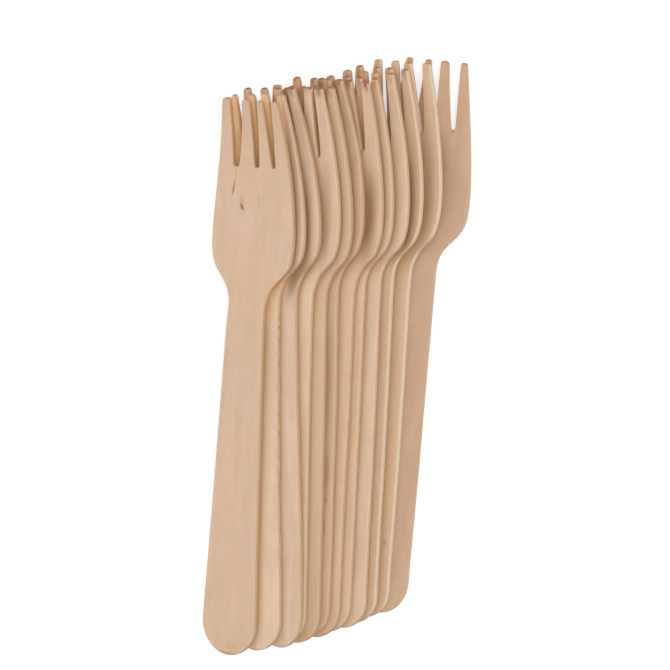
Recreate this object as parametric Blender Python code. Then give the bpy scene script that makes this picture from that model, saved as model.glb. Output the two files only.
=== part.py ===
"""A pack of twelve one-piece birch forks, fanned out and lying on a table.

Every fork is stamped from flat veneer as one blank with four tines. Its edges are eased,
and its head is hot pressed: the bowl dips below the handle and the tines rise above it.
The last fork lies flat on the table. Each of the others stands with its left edge on the
table, or close to it, and leans on the fork to its right, like cards spread by hand.

Blank and lay-out sizes are millimetres and degrees, and the model is built in metres.
+Z is up, the tines point along +Y, and the origin is on the table under the middle of
the pack.
"""

import math

import bmesh
import bpy
from mathutils import Matrix, Vector
from mathutils.bvhtree import BVHTree
from mathutils.geometry import delaunay_2d_cdt, interpolate_bezier

MM = 0.001

# Blank: "at" is a place along it from the handle's end, half widths are from its centre line
LENGTH = 160.0
THICKNESS = 1.6
EASED_EDGE = 0.2
HANDLE_END_HALF_WIDTH = 8.1
HANDLE_END_RUN = 9.5
NECK_HALF_WIDTH = 5.7
NECK_AT = 100.5
NECK_REACH = 10.4
HEAD_HALF_WIDTH = 12.9
HEAD_WIDEST_AT = 120.3
HEAD_REACH = 12.3
CHEEK_REACH = 6.0
CHEEK_SLOPE = 0.14
CHEEK_LINE_AT = 131.0
TIP_HALF_WIDTH = 8.6
TIP_ROUNDING = 0.8
TIP_ROUND_PULL = 0.45

# Tines and the three slots between them
OUTER_TINE_INNER_EDGE = 6.75
INNER_TINE_OUTER_EDGE = 2.95
INNER_TINE_INNER_EDGE = 1.18
INNER_TINE_ROOT_BEND = Vector((-0.75, 4.6))
INNER_TINE_TIP_BEND = Vector((0.6, -7.2))
SLOT_BOTTOM_AT = 140.9
OUTER_SLOT_CENTRE = 5.8
OUTER_SLOT_RADIUS = 0.95
MIDDLE_SLOT_RADIUS = 0.8

# Pressed shape of the head
PRESS_STARTS_AT = 92.0
BOWL_LOWEST_AT = 123.5
BOWL_DIP = -2.05
TIP_RISE = 3.7
HOLLOW_DEPTH = 0.45
HOLLOW_ENDS_AT = 152.0

# Points inside the head that let its two faces follow the pressed shape
BOWL_ROWS_AT = (104.0, 109.0, 114.0, 119.0, 124.0, 129.0, 134.0, 138.0)
SIDE_POINTS_FROM = 110.0
SIDE_POINTS_HALF_WIDTH = 7.0

# How the forks are laid, from the left one on top to the right one that lies flat:
# the handle end's place across and along, the lean in plan and how far the right side
# is tilted up
LAID = (
    (-33.0, -86.2, 3.5, 27.1),
    (-24.9, -84.7, 1.2, 30.6),
    (-17.5, -83.4, -0.2, 31.0),
    (-17.7, -82.8, 2.5, 31.0),
    (-13.5, -82.7, 2.1, 31.0),
    (-10.8, -80.6, 2.4, 31.0),
    (-8.1, -80.8, 3.6, 31.0),
    (-5.0, -79.9, 3.5, 31.0),
    (-0.4, -78.6, 3.4, 31.0),
    (2.5, -77.3, 3.8, 31.0),
    (5.9, -75.6, 4.5, 25.8),
    (10.9, -74.9, 6.0, 0.0),
)
GAP = 0.3
BALANCE_AT = 90.0
PROBE_STEP = 1.5
START_HEIGHT = 30.0
RAY_START = 100.0
SETTLING_ROUNDS = 6
LINE_ROUNDS = 60

SLOPE_STEP = 0.05
SHARP_ANGLE = 30.0

BIRCH_TONES = (
    (0.68, 0.47, 0.32),
    (0.63, 0.43, 0.28),
    (0.66, 0.46, 0.31),
)
BIRCH_ROUGHNESS = 0.62


def clear_scene():
    for item in list(bpy.data.objects):
        bpy.data.objects.remove(item, do_unlink=True)


def curve_points(start, reach_out, reach_in, end, pieces):
    """Points along a cubic curve, without the first one."""
    knots = [p.to_3d() for p in (start, reach_out, reach_in, end)]
    return [p.to_2d() for p in interpolate_bezier(*knots, pieces + 1)][1:]


def line_points(start, end, pieces):
    """Points along a straight line, without the first one."""
    return [start.lerp(end, i / pieces) for i in range(1, pieces + 1)]


def arc_points(centre, radii, from_degrees, to_degrees, pieces):
    """Points along an elliptical arc, without the first one."""
    points = []
    for i in range(1, pieces + 1):
        angle = math.radians(from_degrees + (to_degrees - from_degrees) * i / pieces)
        points.append(centre + Vector((radii[0] * math.cos(angle), radii[1] * math.sin(angle))))
    return points


def tine_tip(outer_edge, inner_edge):
    """Rounded end of one tine, from its outer side to its inner side."""
    aside = Vector((TIP_ROUNDING, 0.0))
    down = Vector((0.0, TIP_ROUNDING))
    aside_pull = aside * TIP_ROUND_PULL
    down_pull = down * TIP_ROUND_PULL
    outer = Vector((outer_edge, LENGTH))
    inner = Vector((inner_edge, LENGTH))
    points = curve_points(outer - down, outer - down_pull, outer - aside_pull, outer - aside, 3)
    points.append(inner + aside)
    points += curve_points(inner + aside, inner + aside_pull, inner - down_pull, inner - down, 3)
    return points


def handle_and_cheek():
    """Right side of the blank, from the handle's end to the outer tine's tip."""
    neck = Vector((NECK_HALF_WIDTH, NECK_AT))
    widest = Vector((HEAD_HALF_WIDTH, HEAD_WIDEST_AT))
    tip = Vector((TIP_HALF_WIDTH, LENGTH - TIP_ROUNDING))
    cheek_line = Vector((tip.x + CHEEK_SLOPE * (tip.y - CHEEK_LINE_AT), CHEEK_LINE_AT))
    along = Vector((0.0, 1.0))
    end_centre = along * HANDLE_END_RUN
    points = [Vector((0.0, 0.0))]
    points += arc_points(end_centre, (HANDLE_END_HALF_WIDTH, HANDLE_END_RUN), -90, 0, 7)
    points.append(neck)
    points += curve_points(
        neck, neck + along * NECK_REACH, widest - along * HEAD_REACH, widest, 9
    )
    points += curve_points(widest, widest + along * CHEEK_REACH, cheek_line, tip, 7)
    return points


def right_half():
    """Right half of the blank, from the handle's end round to the middle slot's bottom."""
    outer_slot = Vector((OUTER_SLOT_CENTRE, SLOT_BOTTOM_AT + OUTER_SLOT_RADIUS))
    middle_slot = Vector((0.0, SLOT_BOTTOM_AT + MIDDLE_SLOT_RADIUS))
    outer_radii = (OUTER_SLOT_RADIUS, OUTER_SLOT_RADIUS)
    middle_radii = (MIDDLE_SLOT_RADIUS, MIDDLE_SLOT_RADIUS)
    inner_tine = Vector((INNER_TINE_OUTER_EDGE, LENGTH - TIP_ROUNDING))

    points = handle_and_cheek()
    points += tine_tip(TIP_HALF_WIDTH, OUTER_TINE_INNER_EDGE)
    points += line_points(points[-1], outer_slot + Vector((OUTER_SLOT_RADIUS, 0.0)), 4)
    points += arc_points(outer_slot, outer_radii, 0, -180, 4)
    root = points[-1]
    points += curve_points(
        root, root + INNER_TINE_ROOT_BEND, inner_tine + INNER_TINE_TIP_BEND, inner_tine, 4
    )
    points += tine_tip(INNER_TINE_OUTER_EDGE, INNER_TINE_INNER_EDGE)
    points += line_points(points[-1], middle_slot + Vector((MIDDLE_SLOT_RADIUS, 0.0)), 4)
    points += arc_points(middle_slot, middle_radii, 0, -90, 2)
    return points


def outline():
    """Whole edge of the blank, counter-clockwise seen from the front."""
    half = right_half()
    return half + [Vector((-p.x, p.y)) for p in reversed(half[1:-1])]


def inset(loop, distance):
    """The same edge moved into the wood by a distance."""
    moved = []
    count = len(loop)
    for i, point in enumerate(loop):
        before = (point - loop[i - 1]).normalized()
        after = (loop[(i + 1) % count] - point).normalized()
        along = (before + after).normalized()
        inward = Vector((-along.y, along.x))
        moved.append(point + inward * (distance / before.dot(along)))
    return moved


def smooth_step(value):
    value = min(1.0, max(0.0, value))
    return value * value * (3.0 - 2.0 * value)


def press_height(along):
    """Height of the pressed centre line above the flat handle."""
    if along <= BOWL_LOWEST_AT:
        run = (along - PRESS_STARTS_AT) / (BOWL_LOWEST_AT - PRESS_STARTS_AT)
        return BOWL_DIP * smooth_step(run)
    run = (along - BOWL_LOWEST_AT) / (LENGTH - BOWL_LOWEST_AT)
    return BOWL_DIP + (TIP_RISE - BOWL_DIP) * run**2


def hollow_height(across, along):
    """How far the sides of the bowl stand above its centre line."""
    rise = smooth_step((along - NECK_AT) / (HEAD_WIDEST_AT - NECK_AT))
    fall = smooth_step((HOLLOW_ENDS_AT - along) / (HOLLOW_ENDS_AT - HEAD_WIDEST_AT))
    return HOLLOW_DEPTH * rise * fall * (across / HEAD_HALF_WIDTH) ** 2


def front_height(across, along):
    return press_height(along) + hollow_height(across, along)


def pressed(point, depth):
    """Place in metres of a point of the blank, at a depth under the front face."""
    across, along = point
    step = SLOPE_STEP
    slope_across = front_height(across + step, along) - front_height(across - step, along)
    slope_along = front_height(across, along + step) - front_height(across, along - step)
    normal = Vector((-slope_across, -slope_along, 2.0 * step)).normalized()
    surface = Vector((across, along, front_height(across, along)))
    return (surface - normal * depth) * MM


def bowl_points():
    points = []
    for along in BOWL_ROWS_AT:
        points.append(Vector((0.0, along)))
        if along > SIDE_POINTS_FROM:
            points.append(Vector((SIDE_POINTS_HALF_WIDTH, along)))
            points.append(Vector((-SIDE_POINTS_HALF_WIDTH, along)))
    return points


def fork_mesh():
    """One fork, with its handle's end at the origin and its front face up."""
    edge = outline()
    count = len(edge)
    flat_points = inset(edge, EASED_EDGE) + bowl_points()
    sheet = delaunay_2d_cdt(flat_points, [], [list(range(count))], 1, 1e-6)
    face_points, faces = sheet[0], sheet[2]

    bm = bmesh.new()
    front = [bm.verts.new(pressed(p, 0.0)) for p in face_points]
    upper = [bm.verts.new(pressed(p, EASED_EDGE)) for p in edge]
    lower = [bm.verts.new(pressed(p, THICKNESS - EASED_EDGE)) for p in edge]
    back = [bm.verts.new(pressed(p, THICKNESS)) for p in face_points]
    for face in faces:
        bm.faces.new([front[i] for i in face])
        bm.faces.new([back[i] for i in reversed(face)])
    for top, bottom in ((front, upper), (upper, lower), (lower, back)):
        for i in range(count):
            j = (i + 1) % count
            bm.faces.new((top[i], bottom[i], bottom[j], top[j]))
    bmesh.ops.recalc_face_normals(bm, faces=bm.faces)
    bmesh.ops.triangulate(bm, faces=bm.faces)
    mesh = bpy.data.meshes.new("fork")
    bm.to_mesh(mesh)
    bm.free()
    mesh.shade_smooth()
    mesh.set_sharp_from_angle(angle=math.radians(SHARP_ANGLE))
    return mesh


def placed(index, nose, height):
    """Where a fork lies: raised to a height, its tines raised by the angle nose."""
    across, along, lean, tilt = LAID[index]
    place = Matrix.Translation(Vector((across * MM, along * MM, height)))
    leaning = Matrix.Rotation(-math.radians(lean), 4, "Z")
    nodding = Matrix.Rotation(nose, 4, "X")
    tilted = Matrix.Rotation(-math.radians(tilt), 4, "Y")
    return place @ leaning @ nodding @ tilted


def probe_points(mesh):
    """Points spread along all edges of a mesh."""
    points = []
    for edge in mesh.edges:
        start, end = (mesh.vertices[i].co for i in edge.vertices)
        pieces = math.ceil((end - start).length / (PROBE_STEP * MM))
        points += [start.lerp(end, i / pieces) for i in range(pieces + 1)]
    return points


def surface_tree(mesh, matrix):
    vertices = [matrix @ v.co for v in mesh.vertices]
    return BVHTree.FromPolygons(vertices, [tuple(p.vertices) for p in mesh.polygons])


def lifts_needed(mesh, probes, matrix, below):
    """Pairs of a place along the pack and the lift that a fork needs there.

    The lift brings the fork up to the table, or up to a gap over the fork below it.
    """
    needs = [((matrix @ p).y, -(matrix @ p).z) for p in probes]
    if below is None:
        return needs
    below_matrix, below_tree = below
    own_tree = surface_tree(mesh, matrix)
    up = Vector((0.0, 0.0, 1.0))
    far = up * RAY_START * MM
    for place in [matrix @ p for p in probes] + [below_matrix @ p for p in probes]:
        underside = own_tree.ray_cast(place - far, up)[0]
        top = below_tree.ray_cast(place + far, -up)[0]
        if underside is not None and top is not None:
            needs.append((place.y, top.z - underside.z + GAP * MM))
    return needs


def resting_line(needs, balance):
    """Height and slope of the straight line that rests on the needs on both sides.

    It is the lowest line over all the needs where the fork balances.
    """
    ahead = [n for n in needs if n[0] > balance]
    behind = [n for n in needs if n[0] <= balance]
    slope = 0.0
    for _ in range(LINE_ROUNDS):
        front = max(ahead, key=lambda n: n[1] - slope * (n[0] - balance))
        back = max(behind, key=lambda n: n[1] - slope * (n[0] - balance))
        touching = (front[1] - back[1]) / (front[0] - back[0])
        height = back[1] + touching * (balance - back[0])
        if abs(touching - slope) < 1e-9:
            break
        slope = 0.5 * (slope + touching)
    return height, touching


def settle(index, mesh, probes, below):
    """Lower a fork until it rests at both ends on the table or on its neighbour."""
    nose, height = 0.0, START_HEIGHT * MM
    for _ in range(SETTLING_ROUNDS):
        matrix = placed(index, nose, height)
        balance = (matrix @ Vector((0.0, BALANCE_AT * MM, 0.0))).y
        lift, slope = resting_line(lifts_needed(mesh, probes, matrix, below), balance)
        nose += math.atan(slope)
        height += lift + slope * (matrix.translation.y - balance)
    return placed(index, nose, height)


def lay_pack(mesh):
    """Lay the forks down from the right one to the left one, each on the last."""
    probes = probe_points(mesh)
    below = None
    matrices = []
    for index in reversed(range(len(LAID))):
        matrix = settle(index, mesh, probes, below)
        below = (matrix, surface_tree(mesh, matrix))
        matrices.insert(0, matrix)
    return matrices


def middle_of(mesh, matrices):
    """Point on the table under the middle of the whole pack."""
    corners = [matrix @ v.co for matrix in matrices for v in mesh.vertices]
    low = [min(c[axis] for c in corners) for axis in range(3)]
    high = [max(c[axis] for c in corners) for axis in range(3)]
    return Vector(((low[0] + high[0]) / 2.0, (low[1] + high[1]) / 2.0, low[2]))


def birch(number, tone):
    material = bpy.data.materials.new(f"birch_{number:02d}")
    material.use_nodes = True
    shader = material.node_tree.nodes["Principled BSDF"]
    shader.inputs["Base Color"].default_value = (*tone, 1.0)
    shader.inputs["Roughness"].default_value = BIRCH_ROUGHNESS
    shader.inputs["Metallic"].default_value = 0.0
    material.diffuse_color = (*tone, 1.0)
    return material


def main():
    clear_scene()
    blank = fork_mesh()
    matrices = lay_pack(blank)
    to_origin = Matrix.Translation(-middle_of(blank, matrices))
    for number, matrix in enumerate(matrices, start=1):
        fork = bpy.data.objects.new(f"fork_{number:02d}", blank.copy())
        fork.data.materials.append(birch(number, BIRCH_TONES[number % len(BIRCH_TONES)]))
        fork.matrix_world = to_origin @ matrix
        bpy.context.scene.collection.objects.link(fork)
    bpy.data.meshes.remove(blank)


main()
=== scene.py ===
"""Looks of a pack of twelve birch forks, fanned out on a white table.

Each fork starts as a flat blank with eased edges. A geometry tree roughens its cut edge and
presses its head, and the finished fork takes the place of its plain solid. Materials read the
blank's own coordinates, kept on the mesh, so the grain follows the fork through the press.
"""

import math

import bmesh
import bpy
import numpy as np
from mathutils import Matrix, Vector
from mathutils.geometry import delaunay_2d_cdt, interpolate_bezier


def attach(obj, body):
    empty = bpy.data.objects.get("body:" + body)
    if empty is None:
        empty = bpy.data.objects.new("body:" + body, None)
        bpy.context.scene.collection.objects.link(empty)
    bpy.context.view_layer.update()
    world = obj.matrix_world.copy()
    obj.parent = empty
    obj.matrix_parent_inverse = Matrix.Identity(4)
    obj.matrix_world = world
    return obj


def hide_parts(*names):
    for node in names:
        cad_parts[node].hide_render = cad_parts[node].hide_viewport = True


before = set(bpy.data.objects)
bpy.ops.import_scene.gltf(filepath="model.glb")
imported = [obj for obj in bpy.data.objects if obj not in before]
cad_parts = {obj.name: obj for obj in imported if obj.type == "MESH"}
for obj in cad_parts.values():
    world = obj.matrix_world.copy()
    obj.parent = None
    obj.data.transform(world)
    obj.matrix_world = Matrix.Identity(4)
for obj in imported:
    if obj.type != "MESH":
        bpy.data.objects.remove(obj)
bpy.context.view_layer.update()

MM = 0.001

FORK_COUNT = 12
PACK = [f"fork_{number:02d}" for number in range(1, FORK_COUNT + 1)]

# Blank, in millimetres: "at" is a place along it from the handle's end
LENGTH = 160.0
THICKNESS = 1.6
EASED_EDGE = 0.25
FACE_MARGIN = 0.5
HANDLE_END_HALF_WIDTH = 8.1
HANDLE_END_RUN = 9.5
NECK_HALF_WIDTH = 5.7
NECK_AT = 100.5
NECK_REACH = 10.4
HEAD_HALF_WIDTH = 12.9
HEAD_WIDEST_AT = 120.3
HEAD_REACH = 12.3
CHEEK_REACH = 6.0
CHEEK_SLOPE = 0.14
CHEEK_LINE_AT = 131.0
TIP_HALF_WIDTH = 8.6
TIP_ROUNDING = 0.75
TIP_ROUND_PULL = 0.5
OUTER_TINE_INNER_EDGE = 6.75
INNER_TINE_OUTER_EDGE = 2.95
INNER_TINE_INNER_EDGE = 1.18
INNER_TINE_ROOT_BEND = Vector((-0.75, 4.6))
INNER_TINE_TIP_BEND = Vector((0.6, -7.2))
SLOT_BOTTOM_AT = 140.9
OUTER_SLOT_CENTRE = 5.8
OUTER_SLOT_RADIUS = 0.95
MIDDLE_SLOT_RADIUS = 0.8

# The die cuts the slots unevenly: places across the blank, and how far each lies to the right
# beyond where the slots begin. The front fork's slots differ a little and reach higher. On top of
# that, each fork's tines lean aside by their tips, and some end lower or higher than the rest.
UNEVEN_FROM = 130.0
UNEVEN_PLACES = (-8.6, -6.75, -4.85, -2.95, -1.25, 1.25, 2.95, 4.85, 6.75, 8.6)
UNEVEN_SHIFTS = (0.0, 0.0, 0.0, 0.1, 0.3, 0.3, 0.65, 0.75, 0.0, 0.0)
FRONT_FORK_SHIFTS = (0.0, 0.0, 0.05, 0.25, 0.9, 0.9, 0.95, 0.75, 0.0, 0.0)
FRONT_FORK_RISES = (0.0, 0.1, 0.1, 0.3, 0.35, 0.35, 0.5, 0.55, 0.55, 0.0)
FRONT_FORK_RISE_ENDS_AT = 150.0
UNMOVED = (0.0,) * len(UNEVEN_PLACES)
LEANING_TIPS = {
    "fork_01": (0.0, 0.2, 0.0, 0.0, 0.0, 0.0, 0.0, 0.0, -0.2, 0.0),
    "fork_02": (0.0, -0.3, 0.0, 0.0, 0.0, 0.0, 0.0, 0.0, -0.2, 0.3),
    "fork_03": (0.0, 0.2, 0.0, 0.0, 0.0, 0.0, 0.0, -0.1, -0.7, -0.4),
    "fork_04": (1.4, 1.8, 0.9, 0.5, 0.5, 1.6, 1.9, 0.9, -0.4, 0.2),
    "fork_05": (0.6, 0.8, 0.6, 0.6, 0.6, 0.0, 0.0, 0.0, -0.3, 0.3),
    "fork_06": (0.0, 0.2, 0.0, 0.0, 0.0, 0.0, 0.0, -0.5, -1.1, -1.1),
    "fork_07": (1.0, 1.2, 1.0, 0.9, 0.9, 0.0, 0.0, 0.0, 0.1, 0.5),
    "fork_08": (0.6, 0.9, 0.6, 0.5, 0.5, 0.0, 0.0, 0.0, -0.2, 0.0),
    "fork_09": (0.95, 1.6, 1.2, 1.1, 1.1, 0.2, 0.0, 0.0, -0.2, 0.0),
    "fork_10": (0.5, 0.7, 0.5, 0.4, 0.4, 0.0, 0.0, 0.0, -0.2, 0.0),
    "fork_11": (0.4, 0.6, 0.3, 0.0, 0.0, -0.5, -0.5, 0.0, -0.2, 0.3),
    "fork_12": (-0.5, -0.3, -0.6, -0.9, -0.85, -0.85, -0.45, -0.45, -0.54, -0.35),
}
LONGER_TIPS = {
    "fork_02": (-0.75, -0.75, -0.65, -0.55, -0.55, 0.0, 0.0, -0.2, -0.3, -0.3),
    "fork_04": (0.4, 0.4, 0.2, 0.0, 0.0, 0.0, 0.0, 0.0, 0.0, 0.0),
    "fork_05": (-0.9, -0.9, -0.5, -0.3, -0.3, 0.0, 0.0, 0.0, 0.0, 0.0),
    "fork_08": (-0.3, -0.3, -0.2, 0.0, 0.0, 0.0, 0.0, 0.0, 0.0, 0.0),
    "fork_11": (0.25, 0.25, 0.2, 0.2, 0.2, 0.0, 0.0, 0.3, 0.4, 0.4),
}

# No two forks are equally wide: times the even width at places along each one, on both sides of
# the front fork and on the right side of the others
WIDTH_PLACES = (0.0, 8.0, 17.0, 28.0, 45.0, 72.0, 100.0, 106.0, 115.0)
WIDTHS = {
    "fork_01": (1.1, 1.1, 1.088, 1.07, 1.055, 1.04, 1.03, 1.02, 1.005),
    "fork_02": (1.04, 1.045, 1.05, 1.05, 1.01, 1.015, 1.05, 1.005, 1.02),
    "fork_03": (0.86, 0.88, 0.93, 0.97, 0.99, 0.99, 1.06, 1.045, 1.02),
    "fork_04": (1.0, 1.02, 1.025, 1.03, 1.02, 1.02, 1.06, 1.045, 1.02),
    "fork_05": (1.0, 1.0, 1.01, 1.038, 1.076, 1.124, 1.14, 1.09, 1.02),
    "fork_06": (1.0, 1.0, 1.03, 1.063, 1.094, 1.173, 1.15, 1.095, 1.02),
    "fork_07": (1.0, 1.0, 1.0, 1.01, 1.036, 1.1, 1.1, 1.07, 1.02),
    "fork_08": (1.0, 1.0, 1.01, 1.03, 1.053, 1.1, 1.12, 1.025, 1.02),
    "fork_09": (1.0, 0.99, 0.99, 1.0, 1.053, 1.094, 1.12, 1.025, 1.02),
    "fork_10": (1.0, 1.0, 1.0, 1.01, 1.05, 1.1, 1.11, 1.02, 1.02),
    "fork_11": (1.0, 0.96, 0.96, 1.0, 1.057, 1.1, 1.12, 1.08, 1.02),
    "fork_12": (0.975, 0.965, 0.965, 0.985, 1.0, 1.01, 1.03, 1.02, 1.005),
}

# The front fork's left tine is wider, and it widens along this stretch
LEFT_TINE_GROWS = (118.0, 140.0)
LEFT_TINE_WIDER = {"fork_01": 0.45}

# Some heads have squarer shoulders: the share of the growth at places along the head
SHOULDER_PLACES = (107.0, 110.0, 114.0, 118.0, 127.0, 160.0)
SHOULDER_SHARES = (0.0, 0.15, 1.0, 0.75, 0.5, 0.4)
RIGHT_SHOULDER_WIDER = {
    "fork_01": 0.65,
    "fork_02": 0.4,
    "fork_03": 0.3,
    "fork_05": 0.2,
    "fork_12": 0.35,
}
LEFT_SHOULDER_WIDER = {"fork_01": 0.2}

# How much longer the handle's end of each fork is than the even one, from fork_01 on
END_REACH = 12.0
END_LONGER = (0.35, 0.0, -0.05, -0.35, -0.45, 0.0, 0.0, -0.6, -0.7, -0.8, -0.6, -0.4)

# Pressed shape of the head, in millimetres. Its slope is taken over a short step.
PRESS_STARTS_AT = 92.0
BOWL_LOWEST_AT = 123.5
BOWL_DIP = -2.05
TIP_RISE = 3.7
HOLLOW_DEPTH = 0.45
HOLLOW_ENDS_AT = 152.0
SLOPE_STEP = 0.05

# Fineness of the mesh, in millimetres, pieces of a curve and degrees. The sheet of a face keeps
# only what lies inside its edge, and merges points nearer than the last value.
EDGE_STEP = 0.8
TORN_STEP = 0.25
HEAD_GRID = 1.9
HANDLE_GRID = 4.0
GRID_CLEARANCE = 0.75
HANDLE_END_PIECES = 18
SLOT_PIECES = 8
EASED_EDGE_DEGREES = (0.0, 30.0, 60.0, 90.0)
INSIDE_ONLY = 1
MERGED_WITHIN = 1e-6

# Hairline split from the left slot of the front fork: its places, its half width at each, and
# the share of the edge's easing there
SPLIT_PLACES = (
    Vector((-6.05, 138.5)),
    Vector((-6.4, 135.9)),
    Vector((-6.9, 133.8)),
    Vector((-7.15, 133.1)),
)
SPLIT_HALF_WIDTHS = (0.05, 0.075, 0.12, 0.05)
SPLIT_EASE = 0.12

# Cut edge: its roughness, and nicks on the right side of a torn fork, fading at both ends of
# their stretch. The scales are of noise, per metre.
EDGE_ROUGHNESS = 0.06
ROUGHNESS_SCALE = 420.0
NICK_SCALE = 1000.0
NICK_LIMITS = (0.5, 0.62)
TORN_FADE = 8.0
TORN = {
    "fork_02": {"Torn_Depth": 0.26 * MM, "Torn_Start": 20.0 * MM, "Torn_End": 104.0 * MM},
}

# The wider front fork is raised to stay on the table
LIFTS = {"fork_01": 0.35}

# Colours are written as they show on screen, from 0 to 255. Tones of the forks from left to right:
# face, its patches, cut side, tips. The paler cut sides of fork_09 to fork_11 are painted light
# where the lamps catch their edges, and the darker tips of the middle forks carry the painted
# shade of their crowded tine ends
TONES = (
    ((218, 188, 159), (220, 190, 166), (208, 176, 144), (205, 172, 138)),
    ((231, 205, 177), (225, 197, 169), (220, 192, 163), (196, 166, 146)),
    ((224, 197, 175), (219, 190, 166), (214, 184, 156), (160, 110, 88)),
    ((226, 199, 173), (222, 191, 165), (223, 195, 168), (150, 116, 84)),
    ((215, 186, 154), (214, 187, 159), (214, 184, 154), (165, 115, 92)),
    ((213, 182, 152), (210, 179, 150), (216, 186, 158), (172, 112, 92)),
    ((223, 192, 163), (218, 187, 158), (220, 191, 163), (158, 104, 80)),
    ((227, 197, 169), (222, 190, 159), (224, 196, 170), (168, 122, 96)),
    ((222, 196, 170), (219, 190, 163), (226, 200, 174), (176, 142, 110)),
    ((209, 178, 148), (213, 184, 156), (232, 208, 184), (160, 124, 92)),
    ((224, 194, 164), (224, 195, 164), (236, 214, 190), (182, 152, 124)),
    ((220, 188, 159), (216, 182, 154), (222, 192, 166), (196, 156, 128)),
)

# Tones that all forks share: pores of the face, end of the handle, and layers and open pores
# in the cut
PORE_TONE = (158, 116, 84)
END_TONE = (184, 136, 98)
LAYER_TONE = (196, 158, 128)
OPEN_PORE_TONE = (128, 88, 60)

# Grain: size of each pattern's cells across and along the wood in millimetres, the values of
# its noise between which it shows, and how strongly it lightens or darkens the face
PATCH_CELLS = (5.0, 24.0)
PATCH_LIMITS = (0.36, 0.64)
BAND_CELLS = (2.6, 38.0)
BAND_STRENGTH = 0.16
WAVE_CELLS = (4.0, 6.0)
WAVE_STRENGTH = 0.1
LINE_CELLS = (0.3, 9.0)
LINE_STRENGTH = 0.05
STREAK_CELLS = (0.9, 11.0)
STREAK_LIMITS = (0.62, 0.78)
STREAK_STRENGTH = -0.07
PORE_CELLS = (0.11, 1.4)
PORE_LIMITS = (0.66, 0.78)
PORE_STRENGTH = 0.3
SEED_STEP = (0.31, 0.53, 0.17)

# Cut edge, in the same way: where it begins on the rounding, what counts as an end by how far
# it faces along the fork, and its layers and open pores
RIM_LIMITS = (0.25, 0.9)
END_LIMITS = (0.35, 0.9)
LAYER_CELLS = (0.22, 9.0)
LAYER_LIMITS = (0.45, 0.75)
LAYER_STRENGTH = 0.28
OPEN_PORE_CELLS = (0.18, 0.18)
OPEN_PORE_LIMITS = (0.5, 0.7)
OPEN_PORE_STRENGTH = 0.5

# Heights of the relief, as shares of the bump's depth, and the finish of the wood
PORE_RELIEF = -0.7
LINE_RELIEF = 0.6
CUT_RELIEF = 1.2
BUMP_STRENGTH = 0.35
BUMP_DEPTH = 0.05
FACE_ROUGHNESS = 0.58
CUT_ROUGHNESS = 0.72
BIRCH_FINISH = {
    "Specular IOR Level": 0.35,
    "Subsurface Weight": 0.8,
    "Subsurface Radius": (1.0, 0.6, 0.35),
    "Subsurface Scale": 0.9 * MM,
}

# Stretch along which the tone of cut ends turns from the handle ends' into the tips'
TIP_TONE_BLEND = (146.0, 152.0)

# Painted shade on each fork's tine ends, strongest where the tines crowd in the middle of the
# pack: how strongly, how far from the tips it begins and is full, and its patches; and how far and
# how strongly the handle's end is browned
TIP_SHADE = (0.2, 0.6, 0.7, 0.8, 0.9, 0.95, 0.95, 0.8, 0.6, 0.6, 0.5, 0.4)
TIP_SHADE_FROM_TIP = (3.6, 0.4)
TIP_SHADE_CELLS = (2.2, 6.0)
TIP_SHADE_LIMITS = (0.36, 0.6)
TIP_SHADE_LEAST = 0.1
HANDLE_END_SINGED_REACH = 1.1
HANDLE_END_SINGED = 0.6

# Painted shade: the colour is warmed and darkened where forks lie close, standing in for the shade
# and the warm light bounced between them. It looks for neighbours this near, and is full where the
# wood is least open and gone where it is open.
CREVICE_REACH = 6.0
CREVICE_SAMPLES = 4
CREVICE_LEAST_OPEN = 0.05
HANDLE_OPEN = 0.8
HEAD_OPEN_MORE = 0.15
CREVICE_STRENGTH = 0.9
CREVICE_LESS_ON_RIM = -0.35

# Painted crevice shade: stretch along which the handle's crevice tone turns into the head's, and
# how far aside the tone of the slots turns into that of the head's side; tones of slots and head,
# plain and by fork. The bright slot tone of fork_02 is painted bounced light on its tines behind
# the front fork's slots.
HEAD_CREVICE_BLEND = (85.0, 110.0)
SIDE_CREVICE_BLEND = (8.0, 9.5)
HANDLE_CREVICE_TONE = (218, 176, 124)
SLOT_TONE = (206, 160, 114)
CREVICES = (SLOT_TONE, (191, 149, 95))
FORK_CREVICES = {
    "fork_02": ((255, 206, 142), (166, 126, 86)),
    "fork_03": (SLOT_TONE, (168, 128, 50)),
    "fork_07": (SLOT_TONE, (174, 126, 80)),
    "fork_10": (SLOT_TONE, (172, 122, 68)),
    "fork_11": (SLOT_TONE, (188, 144, 78)),
    "fork_12": (SLOT_TONE, (180, 128, 66)),
}
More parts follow.
